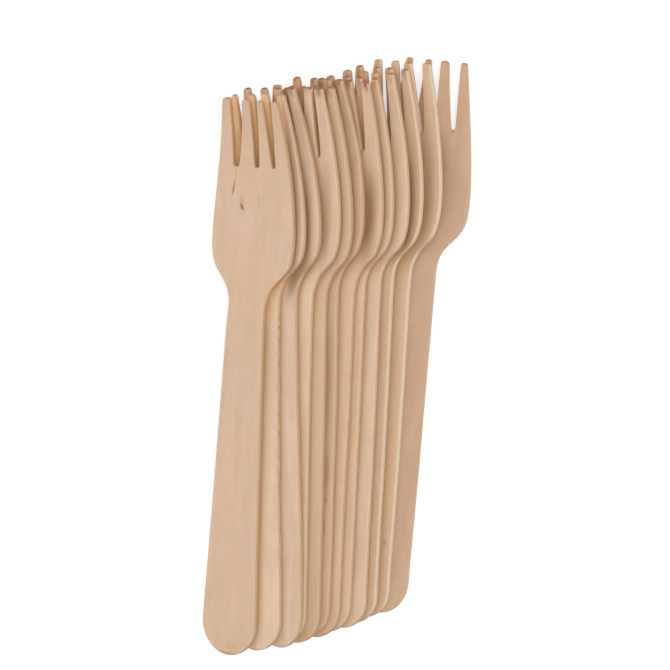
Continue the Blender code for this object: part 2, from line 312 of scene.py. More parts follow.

# Marks of single forks: centre, radii and turn on the blank, strength and tone. A mark is full in
# its core, a share of its radii. The knot, streaks and golden ends of fork_01 and the red and rust
# stains of fork_06 and fork_11 are the wood's own, and fork_01 is darker along its split. The
# brown and olive marks on the right of the heads and necks and on the tines of fork_02 to fork_11
# are painted shade, where each fork lies under its left neighbour's edge and between the crowded
# tines; fork_12's head is darker and redder.
KNOT_TONE = (136, 84, 58)
BROWN_TONE = (158, 116, 82)
OLIVE_TONE = (134, 100, 54)
RUST_TONE = (172, 116, 66)
RED_TONE = (158, 100, 70)
GOLD_TONE = (200, 158, 100)
MARK_CORE = 0.15
MARKS = {
    "fork_01": (
        ((-3.9, 129.6), (0.85, 1.6), 24.0, 0.78, KNOT_TONE),
        ((-6.85, 134.5), (0.7, 2.4), -12.0, 0.55, BROWN_TONE),
        ((-4.0, 131.2), (1.0, 2.6), 4.0, 0.25, KNOT_TONE),
        ((1.6, 131.5), (0.6, 4.0), 4.0, 0.15, KNOT_TONE),
        ((0.0, 154.0), (12.0, 14.0), 0.0, 0.12, GOLD_TONE),
        ((1.5, 2.5), (3.2, 2.4), 0.0, 0.4, GOLD_TONE),
    ),
    # Brown and olive marks from here to fork_11 are painted shade; the red marks of fork_06 and
    # the rust mark of fork_11 are stains
    "fork_02": (((10.6, 122.0), (2.6, 28.0), 0.0, 0.12, BROWN_TONE),),
    "fork_03": (
        ((7.0, 120.0), (5.5, 26.0), 0.0, 0.9, OLIVE_TONE),
        ((5.0, 107.0), (2.1, 9.5), -14.0, 0.6, OLIVE_TONE),
        ((6.3, 141.0), (2.4, 13.0), 0.0, 0.55, OLIVE_TONE),
    ),
    "fork_04": (
        ((8.6, 124.0), (3.0, 22.0), 0.0, 0.4, BROWN_TONE),
        ((2.6, 147.0), (2.6, 12.0), 0.0, 0.45, BROWN_TONE),
    ),
    "fork_05": (((2.6, 140.0), (2.6, 12.0), 0.0, 0.65, BROWN_TONE),),
    "fork_06": (
        ((5.7, 49.0), (1.5, 10.5), 0.0, 0.5, RED_TONE),
        ((6.0, 41.0), (0.8, 1.8), 0.0, 0.5, RED_TONE),
        ((5.6, 33.0), (0.9, 4.0), 0.0, 0.5, RED_TONE),
        ((4.8, 72.0), (2.4, 26.0), 0.0, 0.4, RED_TONE),
    ),
    "fork_07": (
        ((8.6, 123.0), (4.6, 19.0), 0.0, 0.92, BROWN_TONE),
        ((3.6, 144.0), (2.2, 14.0), 0.0, 0.55, BROWN_TONE),
    ),
    "fork_08": (
        ((8.6, 124.0), (3.6, 20.0), 0.0, 0.25, BROWN_TONE),
        ((2.6, 138.0), (2.8, 13.0), 0.0, 0.85, BROWN_TONE),
    ),
    "fork_10": (
        ((8.6, 120.0), (5.0, 24.0), 0.0, 0.85, BROWN_TONE),
        ((6.6, 133.0), (2.0, 14.0), 0.0, 0.5, BROWN_TONE),
    ),
    "fork_11": (
        ((6.5, 122.0), (6.5, 26.0), 0.0, 0.55, BROWN_TONE),
        ((5.5, 23.5), (1.1, 1.6), 0.0, 0.4, RUST_TONE),
    ),
    "fork_12": (
        ((-1.0, 122.0), (15.0, 24.0), 0.0, 0.45, BROWN_TONE),
        ((2.0, 124.0), (6.0, 22.0), 0.0, 0.4, RUST_TONE),
    ),
}

# White table under the pack: half its side in metres, its gap below the plain solids in
# millimetres, its grey, its finish, and its glow for the camera
TABLE_HALF = 6.0
TABLE_CLEARANCE = 0.18
TABLE_SHADE = 0.7
TABLE_FINISH = {"Roughness": 0.9, "Specular IOR Level": 0.1}
TABLE_GLOW = 0.52
WHITE = (1.0, 1.0, 1.0, 1.0)

# Light on the pack from all round, and the lamps: name, direction from the pack, distance and
# side in metres, power in watts
WORLD_LIGHT = 0.5
SOFTBOXES = (
    ("left_softbox", (-1.0, 0.3, 0.45), 1.1, 0.7, 2.4),
    ("top_softbox", (0.12, 0.12, 1.0), 1.1, 0.5, 5.45),
)

# Camera, in metres and degrees: it looks at AIM from high over the pack, a little to the right
# and towards the tines
AIM = Vector((-0.0001, 0.0074, 0.0073))
CAMERA_RIGHT_DEGREES = 2.0
CAMERA_HIGH_DEGREES = 6.0
CAMERA_DISTANCE = 0.65
LENS_MM = 123.0
SENSOR_MM = 36.0


def curve_points(start, reach_out, reach_in, end):
    """Points along a cubic curve at the edge's step, without the first one."""
    pieces = max(3, round(((end - start).length) / EDGE_STEP))
    knots = [p.to_3d() for p in (start, reach_out, reach_in, end)]
    return [p.to_2d() for p in interpolate_bezier(*knots, pieces + 1)][1:]


def line_points(start, end):
    """Points along a straight line at the edge's step, without the first one."""
    pieces = max(1, round((end - start).length / EDGE_STEP))
    return [start.lerp(end, i / pieces) for i in range(1, pieces + 1)]


def arc_points(centre, radii, from_degrees, to_degrees, pieces):
    """Points along an elliptical arc, without the first one."""
    points = []
    for i in range(1, pieces + 1):
        angle = math.radians(from_degrees + (to_degrees - from_degrees) * i / pieces)
        points.append(centre + Vector((radii[0] * math.cos(angle), radii[1] * math.sin(angle))))
    return points


def tine_tip(outer_edge, inner_edge):
    """Rounded end of one tine, from its outer side to its inner side."""
    aside = Vector((TIP_ROUNDING, 0.0))
    down = Vector((0.0, TIP_ROUNDING))
    aside_pull = aside * TIP_ROUND_PULL
    down_pull = down * TIP_ROUND_PULL
    outer = Vector((outer_edge, LENGTH))
    inner = Vector((inner_edge, LENGTH))
    points = curve_points(outer - down, outer - down_pull, outer - aside_pull, outer - aside)
    points.append(inner + aside)
    points += curve_points(inner + aside, inner + aside_pull, inner - down_pull, inner - down)
    return points


def handle_and_cheek():
    """Right side of the blank, from the handle's end to the outer tine's tip."""
    neck = Vector((NECK_HALF_WIDTH, NECK_AT))
    widest = Vector((HEAD_HALF_WIDTH, HEAD_WIDEST_AT))
    tip = Vector((TIP_HALF_WIDTH, LENGTH - TIP_ROUNDING))
    cheek_line = Vector((tip.x + CHEEK_SLOPE * (tip.y - CHEEK_LINE_AT), CHEEK_LINE_AT))
    along = Vector((0.0, 1.0))
    end_centre = along * HANDLE_END_RUN
    end_radii = (HANDLE_END_HALF_WIDTH, HANDLE_END_RUN)
    points = [Vector((0.0, 0.0))]
    points += arc_points(end_centre, end_radii, -90, 0, HANDLE_END_PIECES)
    points += line_points(points[-1], neck)
    points += curve_points(neck, neck + along * NECK_REACH, widest - along * HEAD_REACH, widest)
    points += curve_points(widest, widest + along * CHEEK_REACH, cheek_line, tip)
    return points


def right_half():
    """Right half of the blank, from the handle's end round to the middle slot's bottom."""
    outer_slot = Vector((OUTER_SLOT_CENTRE, SLOT_BOTTOM_AT + OUTER_SLOT_RADIUS))
    middle_slot = Vector((0.0, SLOT_BOTTOM_AT + MIDDLE_SLOT_RADIUS))
    outer_radii = (OUTER_SLOT_RADIUS, OUTER_SLOT_RADIUS)
    middle_radii = (MIDDLE_SLOT_RADIUS, MIDDLE_SLOT_RADIUS)
    inner_tine = Vector((INNER_TINE_OUTER_EDGE, LENGTH - TIP_ROUNDING))

    points = handle_and_cheek()
    points += tine_tip(TIP_HALF_WIDTH, OUTER_TINE_INNER_EDGE)
    points += line_points(points[-1], outer_slot + Vector((OUTER_SLOT_RADIUS, 0.0)))
    points += arc_points(outer_slot, outer_radii, 0, -180, SLOT_PIECES)
    root = points[-1]
    root_bend, tip_bend = root + INNER_TINE_ROOT_BEND, inner_tine + INNER_TINE_TIP_BEND
    points += curve_points(root, root_bend, tip_bend, inner_tine)
    points += tine_tip(INNER_TINE_OUTER_EDGE, INNER_TINE_INNER_EDGE)
    points += line_points(points[-1], middle_slot + Vector((MIDDLE_SLOT_RADIUS, 0.0)))
    points += arc_points(middle_slot, middle_radii, 0, -90, SLOT_PIECES // 2)
    return points


def even_outline():
    """Whole edge of the blank, counter-clockwise seen from the front."""
    half = right_half()
    return half + [Vector((-p.x, p.y)) for p in reversed(half[1:-1])]


def outline(shifts, rises, leaning, longer):
    """Edge of a blank as the die cuts it, with its slots and tines moved across and along.

    Above is the share of the way from the slots' bottoms up to the tips, and below the share of
    the way down to them from where the rise ends.
    """
    loop = even_outline()
    tine_run = LENGTH - SLOT_BOTTOM_AT
    rise_run = FRONT_FORK_RISE_ENDS_AT - SLOT_BOTTOM_AT
    for point in loop:
        if point.y > UNEVEN_FROM:
            above = np.clip((point.y - SLOT_BOTTOM_AT) / tine_run, 0.0, 1.0)
            below = np.clip((FRONT_FORK_RISE_ENDS_AT - point.y) / rise_run, 0.0, 1.0)
            shift = np.interp(point.x, UNEVEN_PLACES, shifts)
            lean = np.interp(point.x, UNEVEN_PLACES, leaning)
            rise = np.interp(point.x, UNEVEN_PLACES, rises)
            grown = np.interp(point.x, UNEVEN_PLACES, longer)
            point.x += float(shift + lean * above)
            point.y += float(rise * below + grown * above)
    return loop


def fork_outline(name):
    """Edge of one fork of the pack, with its own differences."""
    is_front = name == PACK[0]
    shifts = FRONT_FORK_SHIFTS if is_front else UNEVEN_SHIFTS
    rises = FRONT_FORK_RISES if is_front else UNMOVED
    loop = outline(shifts, rises, LEANING_TIPS[name], LONGER_TIPS.get(name, UNMOVED))
    end_longer = END_LONGER[PACK.index(name)]
    for point in loop:
        left_tine = np.interp(point.x, (-TIP_HALF_WIDTH, -OUTER_TINE_INNER_EDGE), (1.0, 0.0))
        left_tine *= np.interp(point.y, LEFT_TINE_GROWS, (0.0, 1.0))
        if point.x > 0.0 or is_front:
            point.x *= float(np.interp(point.y, WIDTH_PLACES, WIDTHS[name]))
        point.x -= float(LEFT_TINE_WIDER.get(name, 0.0) * left_tine)
        share = float(np.interp(point.y, SHOULDER_PLACES, SHOULDER_SHARES))
        outwards = np.clip(point.x / HEAD_HALF_WIDTH, -1.0, 1.0)
        if point.x > 0.0:
            point.x += RIGHT_SHOULDER_WIDER.get(name, 0.0) * share * float(outwards)
        elif point.y < SLOT_BOTTOM_AT:
            point.x += LEFT_SHOULDER_WIDER.get(name, 0.0) * share * float(outwards)
        point.y -= float(np.interp(point.y, (0.0, END_REACH), (end_longer, 0.0)))
    return loop


def split_outline(loop):
    """The same edge with the hairline split below its left slot, and the easing at each point."""
    bottom = Vector((-OUTER_SLOT_CENTRE, SLOT_BOTTOM_AT))
    at = min(range(len(loop)), key=lambda i: (loop[i] - bottom).length)
    widths = [Vector((half, 0.0)) for half in SPLIT_HALF_WIDTHS]
    right_side = [place + width for place, width in zip(SPLIT_PLACES, widths)]
    left_side = [place - width for place, width in zip(SPLIT_PLACES, widths)]
    mouth = widths[0]
    split = [loop[at] + mouth] + right_side + left_side[::-1] + [loop[at] - mouth]
    eases = [1.0] * at + [SPLIT_EASE] * len(split) + [1.0] * (len(loop) - at - 1)
    return loop[:at] + split + loop[at + 1:], eases


def refined(loop, step):
    """The same edge with no stretch between its points longer than a step."""
    points = []
    for i, start in enumerate(loop):
        end = loop[(i + 1) % len(loop)]
        pieces = math.ceil((end - start).length / step)
        points += [start.lerp(end, k / pieces) for k in range(pieces)]
    return points


def edge_directions(loop):
    """For each point of the edge, the direction out of the wood and the miter's length."""
    directions = []
    count = len(loop)
    for i, point in enumerate(loop):
        before = (point - loop[i - 1]).normalized()
        after = (loop[(i + 1) % count] - point).normalized()
        along = (before + after).normalized()
        directions.append((Vector((along.y, -along.x)), 1.0 / before.dot(along)))
    return directions


def inside_grid(loop):
    """Points inside the blank, finer in its head, all clear of its edge."""
    edge = np.array([tuple(p) for p in loop])
    after = np.roll(edge, -1, axis=0)
    points = []
    at = HANDLE_GRID
    while at < LENGTH:
        step = HANDLE_GRID if at < PRESS_STARTS_AT else HEAD_GRID
        columns = int(HEAD_HALF_WIDTH / HEAD_GRID)
        for column in range(-columns, columns + 1):
            point = np.array((column * HEAD_GRID, at))
            if is_inside(point, edge, after) and clearance(point, edge, after) > GRID_CLEARANCE:
                points.append(Vector(point))
        at += step
    return points


def is_inside(point, edge, after):
    """Whether a point lies inside the edge, by how often a line to its right crosses it."""
    crosses = (edge[:, 1] > point[1]) != (after[:, 1] > point[1])
    a, b = edge[crosses], after[crosses]
    at = a[:, 0] + (point[1] - a[:, 1]) * (b[:, 0] - a[:, 0]) / (b[:, 1] - a[:, 1])
    return np.count_nonzero(at > point[0]) % 2 == 1


def clearance(point, edge, after):
    """Distance from a point to the nearest place on the edge."""
    run = after - edge
    share = np.clip(((point - edge) * run).sum(1) / (run * run).sum(1), 0.0, 1.0)
    return np.linalg.norm(edge + run * share[:, None] - point, axis=1).min()


def edge_rings():
    """Insets and depths of the rings round the cut edge, from the front face to the back."""
    rings = [(FACE_MARGIN, 0.0)]
    for degrees in EASED_EDGE_DEGREES:
        angle = math.radians(degrees)
        rings.append((EASED_EDGE * (1.0 - math.sin(angle)), EASED_EDGE * (1.0 - math.cos(angle))))
    middle = [(0.0, THICKNESS / 2.0)]
    return rings + middle + [(inset, THICKNESS - depth) for inset, depth in reversed(rings)]


def flat_blank(loop, eases=None):
    """Mesh of one flat blank, front face up at z = 0, with its edge marked for the tree.

    The eases narrow the rounding of the edge at each of its points.
    """
    directions = edge_directions(loop)
    count = len(loop)
    eases = eases or [1.0] * count
    rings = edge_rings()
    inwards = [-out * miter * ease for (out, miter), ease in zip(directions, eases)]
    face_edge = [p + inward * FACE_MARGIN for p, inward in zip(loop, inwards)]
    places = face_edge + inside_grid(loop)
    sheet = delaunay_2d_cdt(places, [], [list(range(count))], INSIDE_ONLY, MERGED_WITHIN)
    face_points, faces = sheet[0], sheet[2]

    bm = bmesh.new()
    outward = bm.verts.layers.float_vector.new("outward")
    rim = bm.verts.layers.float.new("rim")

    def face_verts(depth):
        return [bm.verts.new(Vector((p.x, p.y, -depth)) * MM) for p in face_points]

    def ring_verts(inset, depth):
        made = []
        for p, (out, _), inward in zip(loop, directions, inwards):
            place = p + inward * inset
            vert = bm.verts.new(Vector((place.x, place.y, -depth)) * MM)
            vert[outward] = out.to_3d()
            vert[rim] = 1.0 - inset / FACE_MARGIN
            made.append(vert)
        return made

    front = face_verts(0.0)
    back = face_verts(THICKNESS)
    between = [ring_verts(inset, depth) for inset, depth in rings[1:-1]]
    for face in faces:
        bm.faces.new([front[i] for i in face])
        bm.faces.new([back[i] for i in reversed(face)])
    loops = [front] + between + [back]
    for upper, lower in zip(loops, loops[1:]):
        for i in range(count):
            j = (i + 1) % count
            bm.faces.new((upper[i], lower[i], lower[j], upper[j]))
    bmesh.ops.recalc_face_normals(bm, faces=bm.faces)
    mesh = bpy.data.meshes.new("flat_blank")
    bm.to_mesh(mesh)
    bm.free()
    return mesh


def add(tree, kind, inputs=None, **settings):
    """Adds a node, sets it up, and fills its sockets with values or links."""
    made = tree.nodes.new(kind)
    for name, value in settings.items():
        setattr(made, name, value)
    for key, value in (inputs or {}).items():
        if isinstance(value, bpy.types.NodeSocket):
            tree.links.new(value, made.inputs[key])
        else:
            made.inputs[key].default_value = value
    return made


def calc(tree, operation, first, second=0.0, third=0.0):
    """Result of a math node on values or sockets."""
    kind = "ShaderNodeMath"
    return add(tree, kind, {0: first, 1: second, 2: third}, operation=operation).outputs[0]


def calc_vector(tree, operation, first, second=(0.0, 0.0, 0.0), scale=None):
    """Result of a vector math node on values or sockets."""
    inputs = {0: first, 1: second}
    if scale is not None:
        inputs["Scale"] = scale
    return add(tree, "ShaderNodeVectorMath", inputs, operation=operation).outputs[0]


def combined(tree, x, y, z):
    """Vector with three values or sockets as its parts."""
    return add(tree, "ShaderNodeCombineXYZ", {"X": x, "Y": y, "Z": z}).outputs[0]


def parts_of(tree, vector):
    """Sockets with the parts of a vector, X, Y and Z."""
    return add(tree, "ShaderNodeSeparateXYZ", {0: vector}).outputs


def metres(millimetres):
    """The same lengths in metres."""
    return [length * MM for length in millimetres]


def ramp(tree, value, low, high, to_low=0.0, to_high=1.0, smooth=True):
    """A value's place between two limits, eased at both ends or straight."""
    inputs = {
        "Value": value,
        "From Min": low,
        "From Max": high,
        "To Min": to_low,
        "To Max": to_high,
    }
    kind = "SMOOTHSTEP" if smooth else "LINEAR"
    return add(tree, "ShaderNodeMapRange", inputs, interpolation_type=kind).outputs["Result"]


def new_tree(name, kind, inputs, outputs):
    """An empty node group with named sockets; returns it with the sockets given and made."""
    tree = bpy.data.node_groups.new(name, kind)
    for socket_name, socket_type, default in inputs:
        made = tree.interface.new_socket(socket_name, in_out="INPUT", socket_type=socket_type)
        if default is not None:
            made.default_value = default
    for socket_name, socket_type in outputs:
        tree.interface.new_socket(socket_name, in_out="OUTPUT", socket_type=socket_type)
    given = tree.nodes.new("NodeGroupInput").outputs
    made = tree.nodes.new("NodeGroupOutput").inputs
    return tree, given, made


PRESS_INPUTS = (
    ("Bowl Dip", "NodeSocketFloat", BOWL_DIP * MM),
    ("Tip Rise", "NodeSocketFloat", TIP_RISE * MM),
    ("Hollow Depth", "NodeSocketFloat", HOLLOW_DEPTH * MM),
)


def press_height_tree():
    """Height of the pressed front face over a place on the blank."""
    places = (("Across", "NodeSocketFloat", 0.0), ("Along", "NodeSocketFloat", 0.0))
    tree, given, made = new_tree(
        "press height", "GeometryNodeTree", places + PRESS_INPUTS, [("Height", "NodeSocketFloat")]
    )
    along = given["Along"]
    lowest, widest = BOWL_LOWEST_AT * MM, HEAD_WIDEST_AT * MM
    into_bowl = ramp(tree, along, PRESS_STARTS_AT * MM, lowest)
    to_tip = calc(tree, "POWER", ramp(tree, along, lowest, LENGTH * MM, smooth=False), 2.0)
    climb = calc(tree, "SUBTRACT", given["Tip Rise"], given["Bowl Dip"])
    dip = calc(tree, "MULTIPLY", given["Bowl Dip"], into_bowl)
    centre = calc(tree, "MULTIPLY_ADD", climb, to_tip, dip)
    sides = calc(tree, "POWER", calc(tree, "DIVIDE", given["Across"], HEAD_HALF_WIDTH * MM), 2.0)
    sides = calc(tree, "MULTIPLY", sides, ramp(tree, along, NECK_AT * MM, widest))
    sides = calc(tree, "MULTIPLY", sides, ramp(tree, along, widest, HOLLOW_ENDS_AT * MM, 1.0, 0.0))
    height = calc(tree, "MULTIPLY_ADD", sides, given["Hollow Depth"], centre)
    tree.links.new(height, made["Height"])
    return tree


def frayed(tree, given, place):
    """Offset of the cut edge: fine roughness all round, and torn nicks on one stretch."""
    read, noise = "GeometryNodeInputNamedAttribute", "ShaderNodeTexNoise"
    out = add(tree, read, {"Name": "outward"}, data_type="FLOAT_VECTOR")
    rim = add(tree, read, {"Name": "rim"}, data_type="FLOAT")
    shifted = calc_vector(tree, "ADD", place, combined(tree, 0.0, 0.0, given["Seed"]))
    fine = add(tree, noise, {"Vector": shifted, "Scale": ROUGHNESS_SCALE, "Detail": 3.0})
    rough = calc(tree, "SUBTRACT", fine.outputs["Fac"], 0.5)
    rough = calc(tree, "MULTIPLY", rough, given["Edge Roughness"])
    nick = add(tree, noise, {"Vector": shifted, "Scale": NICK_SCALE, "Detail": 2.0})
    nick = ramp(tree, nick.outputs["Fac"], *NICK_LIMITS)
    parts = parts_of(tree, place)
    past_start = calc(tree, "SUBTRACT", parts["Y"], given["Torn Start"])
    before_end = calc(tree, "SUBTRACT", given["Torn End"], parts["Y"])
    stretch = ramp(tree, past_start, 0.0, TORN_FADE * MM)
    stretch = calc(tree, "MULTIPLY", stretch, ramp(tree, before_end, 0.0, TORN_FADE * MM))
    on_right = calc(tree, "GREATER_THAN", parts["X"], 0.0)
    torn = calc(tree, "MULTIPLY", calc(tree, "MULTIPLY", nick, stretch), on_right)
    torn = calc(tree, "MULTIPLY", torn, given["Torn Depth"])
    move = calc(tree, "MULTIPLY", calc(tree, "SUBTRACT", rough, torn), rim.outputs[0])
    return calc_vector(tree, "SCALE", out.outputs[0], scale=move)


def press_tree():
    """The whole forming of a fork: its edge is roughened, then its head is pressed."""
    inputs = (
        ("Geometry", "NodeSocketGeometry", None),
        *PRESS_INPUTS,
        ("Edge Roughness", "NodeSocketFloat", EDGE_ROUGHNESS * MM),
        ("Torn Depth", "NodeSocketFloat", 0.0),
        ("Torn Start", "NodeSocketFloat", 0.0),
        ("Torn End", "NodeSocketFloat", 0.0),
        ("Seed", "NodeSocketFloat", 0.0),
        ("Wood", "NodeSocketMaterial", None),
    )
    tree, given, made = new_tree(
        "pressed fork", "GeometryNodeTree", inputs, [("Geometry", "NodeSocketGeometry")]
    )
    place = add(tree, "GeometryNodeInputPosition").outputs[0]
    kept = add(
        tree,
        "GeometryNodeStoreNamedAttribute",
        {"Geometry": given["Geometry"], "Name": "blank", "Value": place},
        data_type="FLOAT_VECTOR",
        domain="POINT",
    ).outputs[0]
    move = "GeometryNodeSetPosition"
    offset = frayed(tree, given, place)
    rough = add(tree, move, {"Geometry": kept, "Offset": offset}).outputs[0]

    parts = parts_of(tree, place)
    height_tree = press_height_tree()
    step = SLOPE_STEP * MM

    def height(across, along):
        inputs = {"Across": across, "Along": along}
        inputs.update({name: given[name] for name, _, _ in PRESS_INPUTS})
        return add(tree, "GeometryNodeGroup", inputs, node_tree=height_tree).outputs["Height"]

    here = height(parts["X"], parts["Y"])
    beside = height(calc(tree, "ADD", parts["X"], step), parts["Y"])
    ahead = height(parts["X"], calc(tree, "ADD", parts["Y"], step))
    across_slope = calc(tree, "DIVIDE", calc(tree, "SUBTRACT", here, beside), step)
    along_slope = calc(tree, "DIVIDE", calc(tree, "SUBTRACT", here, ahead), step)
    normal = calc_vector(tree, "NORMALIZE", combined(tree, across_slope, along_slope, 1.0))
    front = combined(tree, parts["X"], parts["Y"], here)
    depth = calc_vector(tree, "SCALE", normal, scale=parts["Z"])
    pressed_place = calc_vector(tree, "ADD", front, depth)
    pressed = add(tree, move, {"Geometry": rough, "Position": pressed_place}).outputs[0]
    smooth = add(tree, "GeometryNodeSetShadeSmooth", {"Geometry": pressed}).outputs[0]
    real = add(tree, "GeometryNodeRealizeInstances", {"Geometry": smooth}).outputs[0]
    finish = {"Geometry": real, "Material": given["Wood"]}
    finished = add(tree, "GeometryNodeSetMaterial", finish).outputs[0]
    tree.links.new(finished, made["Geometry"])
    return tree


def set_inputs(modifier, **values):
    """Sets a tree's named inputs, with _ for a space, by their sockets' identifiers."""
    for item in modifier.node_group.interface.items_tree:
        key = item.name.replace(" ", "_")
        if item.in_out == "INPUT" and key in values:
            modifier[item.identifier] = values[key]


def surface_frame(mesh):
    """Centre and axes of a fork's surface, found from its area's moments.

    A triangle's moment is that of its three corners and of nine more points at its middle.
    """
    mesh.calc_loop_triangles()
    corners = np.array([[mesh.vertices[i].co for i in t.vertices] for t in mesh.loop_triangles])
    sides = corners[:, 1] - corners[:, 0], corners[:, 2] - corners[:, 0]
    area = np.linalg.norm(np.cross(*sides), axis=1) / 2.0
    middles = corners.mean(axis=1)
    centre = (area[:, None] * middles).sum(axis=0) / area.sum()
    corners -= centre
    middles -= centre
    spread = np.einsum("t,tij,tik->jk", area, corners, corners)
    spread += 9.0 * np.einsum("t,tj,tk->jk", area, middles, middles)
    up, _, along = np.linalg.eigh(spread)[1].T
    along *= np.sign((area * (middles @ along) ** 3).sum())
    up *= np.sign((area * (middles @ up) * (middles @ along) ** 2).sum())
    axes = Matrix((np.cross(along, up), along, up)).transposed()
    return Matrix.Translation(Vector(centre)) @ axes.to_4x4()


def formed_mesh(blank, tree, **values):
    """Mesh that the forming tree makes from a flat blank."""
    start = bpy.data.objects.new("blank", blank)
    bpy.context.scene.collection.objects.link(start)
    modifier = start.modifiers.new("form", "NODES")
    modifier.node_group = tree
    set_inputs(modifier, **values)
    bpy.context.view_layer.update()
    evaluated = start.evaluated_get(bpy.context.evaluated_depsgraph_get())
    mesh = bpy.data.meshes.new_from_object(evaluated)
    bpy.data.objects.remove(start)
    return mesh


def formed_fork(name, blank, tree, plain_frame, wood, torn):
    """One fork, formed from the blank and put where its plain solid lies."""
    mesh = formed_mesh(blank, tree, Seed=float(PACK.index(name)), Wood=wood, **torn)
    mesh.name = name + "_birch"
    lift = Matrix.Translation((0.0, 0.0, LIFTS.get(name, 0.0) * MM))
    mesh.transform(lift @ surface_frame(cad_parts[name].data) @ plain_frame.inverted())
    fork = bpy.data.objects.new(name + "_birch", mesh)
    bpy.context.scene.collection.objects.link(fork)
    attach(fork, "root")
    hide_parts(name)
    return fork


def linear(red, green, blue):
    """Linear colour of a screen colour from 0 to 255."""
    values = [c / 255.0 for c in (red, green, blue)]
    linear_values = [c / 12.92 if c <= 0.04045 else ((c + 0.055) / 1.055) ** 2.4 for c in values]
    return (*linear_values, 1.0)


def mix(tree, factor, first, second, blend="MIX"):
    """Result of a colour mix node."""
    inputs = {0: factor, 6: first, 7: second}
    return add(tree, "ShaderNodeMix", inputs, data_type="RGBA", blend_type=blend).outputs[2]


def grain_noise(tree, place, cells, detail=2.0, roughness=0.5, distortion=0.0):
    """Noise stretched along the wood, with cells of a size across and along in millimetres."""
    across, along = [1.0 / size for size in metres(cells)]
    inputs = {
        "Vector": calc_vector(tree, "MULTIPLY", place, (across, along, across)),
        "Scale": 1.0,
        "Detail": detail,
        "Roughness": roughness,
        "Distortion": distortion,
    }
    return add(tree, "ShaderNodeTexNoise", inputs).outputs["Fac"]


def grain_group():
    """Birch face: soft figure, fine lengthwise lines, short dark pores, and their relief."""
    tree, given, made = new_tree(
        "birch grain",
        "ShaderNodeTree",
        (
            ("Blank", "NodeSocketVector", None),
            ("Seed", "NodeSocketFloat", 0.0),
            ("Tone", "NodeSocketColor", None),
            ("Other Tone", "NodeSocketColor", None),
        ),
        (
            ("Color", "NodeSocketColor"),
            ("Height", "NodeSocketFloat"),
            ("Shifted", "NodeSocketVector"),
        ),
    )
    shift = calc_vector(tree, "SCALE", SEED_STEP, scale=given["Seed"])
    place = calc_vector(tree, "ADD", given["Blank"], shift)
    patches = ramp(tree, grain_noise(tree, place, PATCH_CELLS, distortion=0.6), *PATCH_LIMITS)
    color = mix(tree, patches, given["Tone"], given["Other Tone"])

    bands = grain_noise(tree, place, BAND_CELLS, detail=3.0, distortion=0.5)
    waves = grain_noise(tree, place, WAVE_CELLS)
    lines = grain_noise(tree, place, LINE_CELLS, roughness=0.6)
    streaks = ramp(tree, grain_noise(tree, place, STREAK_CELLS, distortion=0.4), *STREAK_LIMITS)
    shade = calc(tree, "MULTIPLY", streaks, STREAK_STRENGTH)
    patterns = ((lines, LINE_STRENGTH), (waves, WAVE_STRENGTH), (bands, BAND_STRENGTH))
    for pattern, strength in patterns:
        shade = calc(tree, "MULTIPLY_ADD", calc(tree, "SUBTRACT", pattern, 0.5), strength, shade)
    shade = calc(tree, "ADD", shade, 1.0)
    pores = ramp(tree, grain_noise(tree, place, PORE_CELLS, detail=1.0), *PORE_LIMITS)
    color = mix(tree, 1.0, color, combined(tree, shade, shade, shade), "MULTIPLY")
    in_pores = calc(tree, "MULTIPLY", pores, PORE_STRENGTH)
    color = mix(tree, in_pores, color, linear(*PORE_TONE))
    height = calc(tree, "MULTIPLY", lines, LINE_RELIEF)
    height = calc(tree, "MULTIPLY_ADD", pores, PORE_RELIEF, height)
    tree.links.new(color, made["Color"])
    tree.links.new(height, made["Height"])
    tree.links.new(place, made["Shifted"])
    return tree


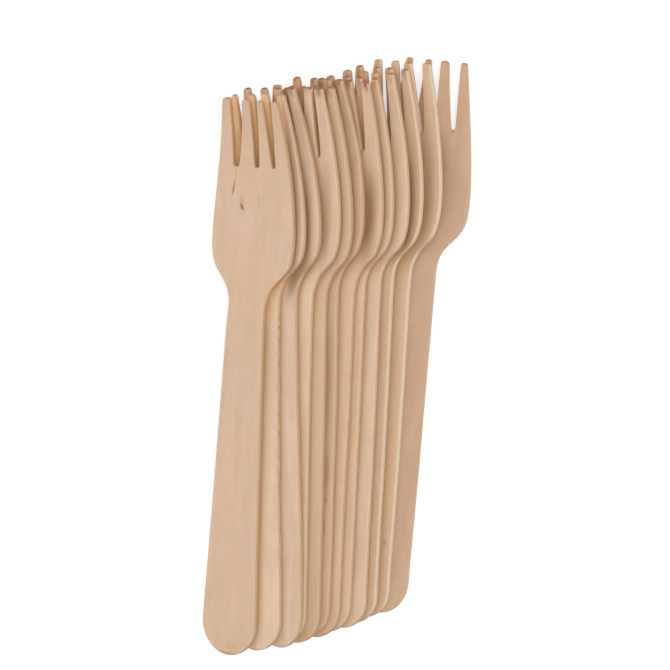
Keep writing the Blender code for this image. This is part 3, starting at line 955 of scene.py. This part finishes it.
def edge_group():
    """Cut edge: pale long grain on the sides, browner open grain across the ends, and painted
    shade on the tine ends.
    """
    tree, given, made = new_tree(
        "cut edge",
        "ShaderNodeTree",
        (
            ("Blank", "NodeSocketVector", None),
            ("Shifted", "NodeSocketVector", None),
            ("Outward", "NodeSocketVector", None),
            ("Rim", "NodeSocketFloat", 0.0),
            ("Color", "NodeSocketColor", None),
            ("Height", "NodeSocketFloat", 0.0),
            ("Side Tone", "NodeSocketColor", None),
            ("Singed", "NodeSocketFloat", 0.5),
            ("End Tone", "NodeSocketColor", linear(*END_TONE)),
            ("Tip Tone", "NodeSocketColor", None),
        ),
        [("Color", "NodeSocketColor"), ("Height", "NodeSocketFloat"), ("Rim", "NodeSocketFloat")],
    )
    rim = ramp(tree, given["Rim"], *RIM_LIMITS)
    facing = calc(tree, "ABSOLUTE", parts_of(tree, given["Outward"])["Y"])
    ends = ramp(tree, facing, *END_LIMITS)
    layers = grain_noise(tree, given["Blank"], LAYER_CELLS, detail=3.0, roughness=0.6)
    open_pores = grain_noise(tree, given["Blank"], OPEN_PORE_CELLS)
    along = parts_of(tree, given["Blank"])["Y"]
    by_tips = ramp(tree, along, *metres(TIP_TONE_BLEND))
    end_tone = mix(tree, by_tips, given["End Tone"], given["Tip Tone"])
    # The side tone of some forks holds painted light on their lit cut sides
    cut = mix(tree, ends, given["Side Tone"], end_tone)
    dark_layers = ramp(tree, layers, *LAYER_LIMITS, 0.0, LAYER_STRENGTH)
    cut = mix(tree, dark_layers, cut, linear(*LAYER_TONE))
    dark_pores = ramp(tree, open_pores, *OPEN_PORE_LIMITS, 0.0, OPEN_PORE_STRENGTH)
    cut = mix(tree, calc(tree, "MULTIPLY", ends, dark_pores), cut, linear(*OPEN_PORE_TONE))
    relief = calc(tree, "MULTIPLY", layers, CUT_RELIEF)
    end_pores = calc(tree, "MULTIPLY", ends, open_pores)
    relief = calc(tree, "MULTIPLY_ADD", end_pores, CUT_RELIEF, relief)

    # Painted shade on the tine ends, in patches, toward the tip tone
    at_tips = ramp(tree, along, *metres(LENGTH - reach for reach in TIP_SHADE_FROM_TIP))
    tip_shade = grain_noise(tree, given["Shifted"], TIP_SHADE_CELLS)
    tip_shade = ramp(tree, tip_shade, *TIP_SHADE_LIMITS, TIP_SHADE_LEAST, 1.0)
    at_tips = calc(tree, "MULTIPLY", at_tips, tip_shade)
    at_tips = calc(tree, "MULTIPLY", at_tips, given["Singed"])
    face = mix(tree, at_tips, given["Color"], given["Tip Tone"])
    singed_reach = HANDLE_END_SINGED_REACH * MM
    at_handle_end = ramp(tree, along, 0.0, singed_reach, HANDLE_END_SINGED, 0.0)
    face = mix(tree, at_handle_end, face, given["End Tone"])
    color = mix(tree, rim, face, cut)
    height = add(tree, "ShaderNodeMix", {0: rim, 2: given["Height"], 3: relief}).outputs[0]
    tree.links.new(color, made["Color"])
    tree.links.new(height, made["Height"])
    tree.links.new(rim, made["Rim"])
    return tree


def crevice_shade_group():
    """Painted shade: warms and darkens the colour where another fork lies close, most of all
    between the heads.
    """
    tree, given, made = new_tree(
        "painted crevice shade",
        "ShaderNodeTree",
        (
            ("Blank", "NodeSocketVector", None),
            ("Openness", "NodeSocketFloat", 1.0),
            ("Rim", "NodeSocketFloat", 0.0),
            ("Color", "NodeSocketColor", None),
            ("Head Tone", "NodeSocketColor", None),
            ("Slot Tone", "NodeSocketColor", None),
            ("Handle Tone", "NodeSocketColor", linear(*HANDLE_CREVICE_TONE)),
        ),
        [("Color", "NodeSocketColor")],
    )
    parts = parts_of(tree, given["Blank"])
    at_head = ramp(tree, parts["Y"], *metres(HEAD_CREVICE_BLEND))
    at_side = ramp(tree, parts["X"], *metres(SIDE_CREVICE_BLEND))
    head_tone = mix(tree, at_side, given["Slot Tone"], given["Head Tone"])
    tone = mix(tree, at_head, given["Handle Tone"], head_tone)
    limit = calc(tree, "MULTIPLY_ADD", at_head, HEAD_OPEN_MORE, HANDLE_OPEN)
    deep = ramp(tree, given["Openness"], CREVICE_LEAST_OPEN, limit, CREVICE_STRENGTH, 0.0)
    on_face = calc(tree, "MULTIPLY_ADD", given["Rim"], CREVICE_LESS_ON_RIM, 1.0)
    deep = calc(tree, "MULTIPLY", deep, on_face)
    tree.links.new(mix(tree, deep, given["Color"], tone), made["Color"])
    return tree


def attribute(tree, name):
    """Sockets of a node that reads what the mesh keeps under a name."""
    return add(tree, "ShaderNodeAttribute", attribute_name=name, attribute_type="GEOMETRY").outputs


def place_group(tree, group, inputs):
    """Puts a shader group in a material with its own values."""
    return add(tree, "ShaderNodeGroup", inputs, node_tree=group).outputs


def spot(tree, blank, centre, radii, turn):
    """Mask of a soft oval mark on the blank: sizes in millimetres, turned by degrees."""
    moved = add(
        tree,
        "ShaderNodeMapping",
        {
            "Vector": blank,
            "Location": (centre[0] * MM, centre[1] * MM, 0.0),
            "Rotation": (0.0, 0.0, math.radians(turn)),
            "Scale": (radii[0] * MM, radii[1] * MM, 1.0),
        },
        vector_type="TEXTURE",
    ).outputs[0]
    distance = add(tree, "ShaderNodeVectorMath", {0: moved}, operation="LENGTH").outputs["Value"]
    return ramp(tree, distance, MARK_CORE, 1.0, 1.0, 0.0)


def birch(number, groups, tones, crevices, tip_shade, marks):
    """Material of one fork: its face's grain, its cut edge, any marks of its own, and painted
    shade where other forks lie close.
    """
    tone, other_tone, side_tone, tip_tone = [linear(*tone) for tone in tones]
    slot_tone, crevice_tone = [linear(*tone) for tone in crevices]
    material = bpy.data.materials.new(f"birch_{number:02d}")
    material.use_nodes = True
    tree = material.node_tree
    shader = tree.nodes["Principled BSDF"]
    blank = attribute(tree, "blank")["Vector"]
    face = place_group(
        tree,
        groups["grain"],
        {"Blank": blank, "Seed": float(number), "Tone": tone, "Other Tone": other_tone},
    )
    color, height = face["Color"], face["Height"]
    # Marks of the fork's own, and marks of painted shade beside its neighbours and between its
    # crowded tines
    for centre, radii, turn, strength, mark_tone in marks:
        mask = calc(tree, "MULTIPLY", spot(tree, blank, centre, radii, turn), strength)
        color = mix(tree, mask, color, linear(*mark_tone))
    cut = place_group(
        tree,
        groups["edge"],
        {
            "Blank": blank,
            "Shifted": face["Shifted"],
            "Outward": attribute(tree, "outward")["Vector"],
            "Rim": attribute(tree, "rim")["Fac"],
            "Color": color,
            "Height": height,
            "Side Tone": side_tone,
            "Singed": tip_shade,
            "Tip Tone": tip_tone,
        },
    )
    relief = {"Strength": BUMP_STRENGTH, "Distance": BUMP_DEPTH * MM, "Height": cut["Height"]}
    bump = add(tree, "ShaderNodeBump", relief)
    # Painted shade: the occlusion of nearby forks warms and darkens the colour
    reach = {"Distance": CREVICE_REACH * MM}
    openness = add(tree, "ShaderNodeAmbientOcclusion", reach, samples=CREVICE_SAMPLES)
    crevice_shaded = place_group(
        tree,
        groups["crevice"],
        {
            "Blank": blank,
            "Openness": openness.outputs["AO"],
            "Rim": cut["Rim"],
            "Color": cut["Color"],
            "Slot Tone": slot_tone,
            "Head Tone": crevice_tone,
        },
    )
    tree.links.new(crevice_shaded["Color"], shader.inputs["Base Color"])
    tree.links.new(bump.outputs[0], shader.inputs["Normal"])
    roughness = ramp(tree, cut["Rim"], 0.0, 1.0, FACE_ROUGHNESS, CUT_ROUGHNESS, smooth=False)
    tree.links.new(roughness, shader.inputs["Roughness"])
    for name, value in BIRCH_FINISH.items():
        shader.inputs[name].default_value = value
    return material


def white_surface(name, shade, glow):
    """Plain matt white, lifted for the camera so that the open ground shows white."""
    material = bpy.data.materials.new(name)
    material.use_nodes = True
    tree = material.node_tree
    shader = tree.nodes["Principled BSDF"]
    shader.inputs["Base Color"].default_value = (shade, shade, shade, 1.0)
    for socket_name, value in TABLE_FINISH.items():
        shader.inputs[socket_name].default_value = value
    seen = add(tree, "ShaderNodeLightPath").outputs["Is Camera Ray"]
    shader.inputs["Emission Color"].default_value = WHITE
    tree.links.new(calc(tree, "MULTIPLY", seen, glow), shader.inputs["Emission Strength"])
    return material


def make_table():
    """Table top under the pack, large enough to fill every view from above."""
    mesh = bpy.data.meshes.new("table_top")
    bm = bmesh.new()
    bmesh.ops.create_grid(bm, x_segments=1, y_segments=1, size=TABLE_HALF)
    bm.to_mesh(mesh)
    bm.free()
    mesh.transform(Matrix.Translation((0.0, 0.0, -TABLE_CLEARANCE * MM)))
    table = bpy.data.objects.new("table_top", mesh)
    mesh.materials.append(white_surface("table_white", TABLE_SHADE, TABLE_GLOW))
    bpy.context.scene.collection.objects.link(table)


def make_world():
    """Even soft light from all round, white where the camera sees past the table."""
    world = bpy.data.worlds.new("studio")
    bpy.context.scene.world = world
    world.use_nodes = True
    tree = world.node_tree
    background = tree.nodes["Background"]
    background.inputs["Color"].default_value = WHITE
    seen = add(tree, "ShaderNodeLightPath").outputs["Is Camera Ray"]
    strength = ramp(tree, seen, 0.0, 1.0, WORLD_LIGHT, 1.0, smooth=False)
    tree.links.new(strength, background.inputs["Strength"])


def add_softbox(name, toward, distance, size, power):
    """A square area lamp that shines on the pack from a direction."""
    data = bpy.data.lights.new(name, "AREA")
    data.shape = "SQUARE"
    data.size = size
    data.energy = power
    lamp = bpy.data.objects.new(name, data)
    direction = Vector(toward).normalized()
    lamp.location = AIM + direction * distance
    lamp.rotation_euler = direction.to_track_quat("Z", "Y").to_euler()
    bpy.context.scene.collection.objects.link(lamp)


def make_camera():
    """Camera high over the pack, a little to the right and towards the tines."""
    data = bpy.data.cameras.new("camera")
    data.lens = LENS_MM
    data.sensor_width = SENSOR_MM
    camera = bpy.data.objects.new("camera", data)
    right = math.tan(math.radians(CAMERA_RIGHT_DEGREES))
    high = math.tan(math.radians(CAMERA_HIGH_DEGREES))
    toward = Vector((right, high, 1.0)).normalized()
    up = (Vector((0.0, 1.0, 0.0)) - toward * toward.y).normalized()
    turn = Matrix((up.cross(toward), up, toward)).transposed().to_4x4()
    camera.matrix_world = Matrix.Translation(AIM + toward * CAMERA_DISTANCE) @ turn
    bpy.context.scene.collection.objects.link(camera)
    bpy.context.scene.camera = camera


def fork_blank(name):
    """Flat blank of one fork: the first is split, and a torn one has a finer edge."""
    loop = fork_outline(name)
    if name == PACK[0]:
        return flat_blank(*split_outline(loop))
    return flat_blank(refined(loop, TORN_STEP) if name in TORN else loop)


def make_forks():
    """All forks of the pack, each with its own material, in place of their plain solids."""
    tree = press_tree()
    plain_frame = surface_frame(formed_mesh(flat_blank(even_outline()), tree))
    groups = {"grain": grain_group(), "edge": edge_group(), "crevice": crevice_shade_group()}
    for number, (name, tones, tip_shade) in enumerate(zip(PACK, TONES, TIP_SHADE), start=1):
        crevices = FORK_CREVICES.get(name, CREVICES)
        wood = birch(number, groups, tones, crevices, tip_shade, MARKS.get(name, ()))
        formed_fork(name, fork_blank(name), tree, plain_frame, wood, TORN.get(name, {}))


make_forks()
make_table()
make_world()
for softbox in SOFTBOXES:
    add_softbox(*softbox)
make_camera()
bpy.context.scene.view_settings.view_transform = "Standard"
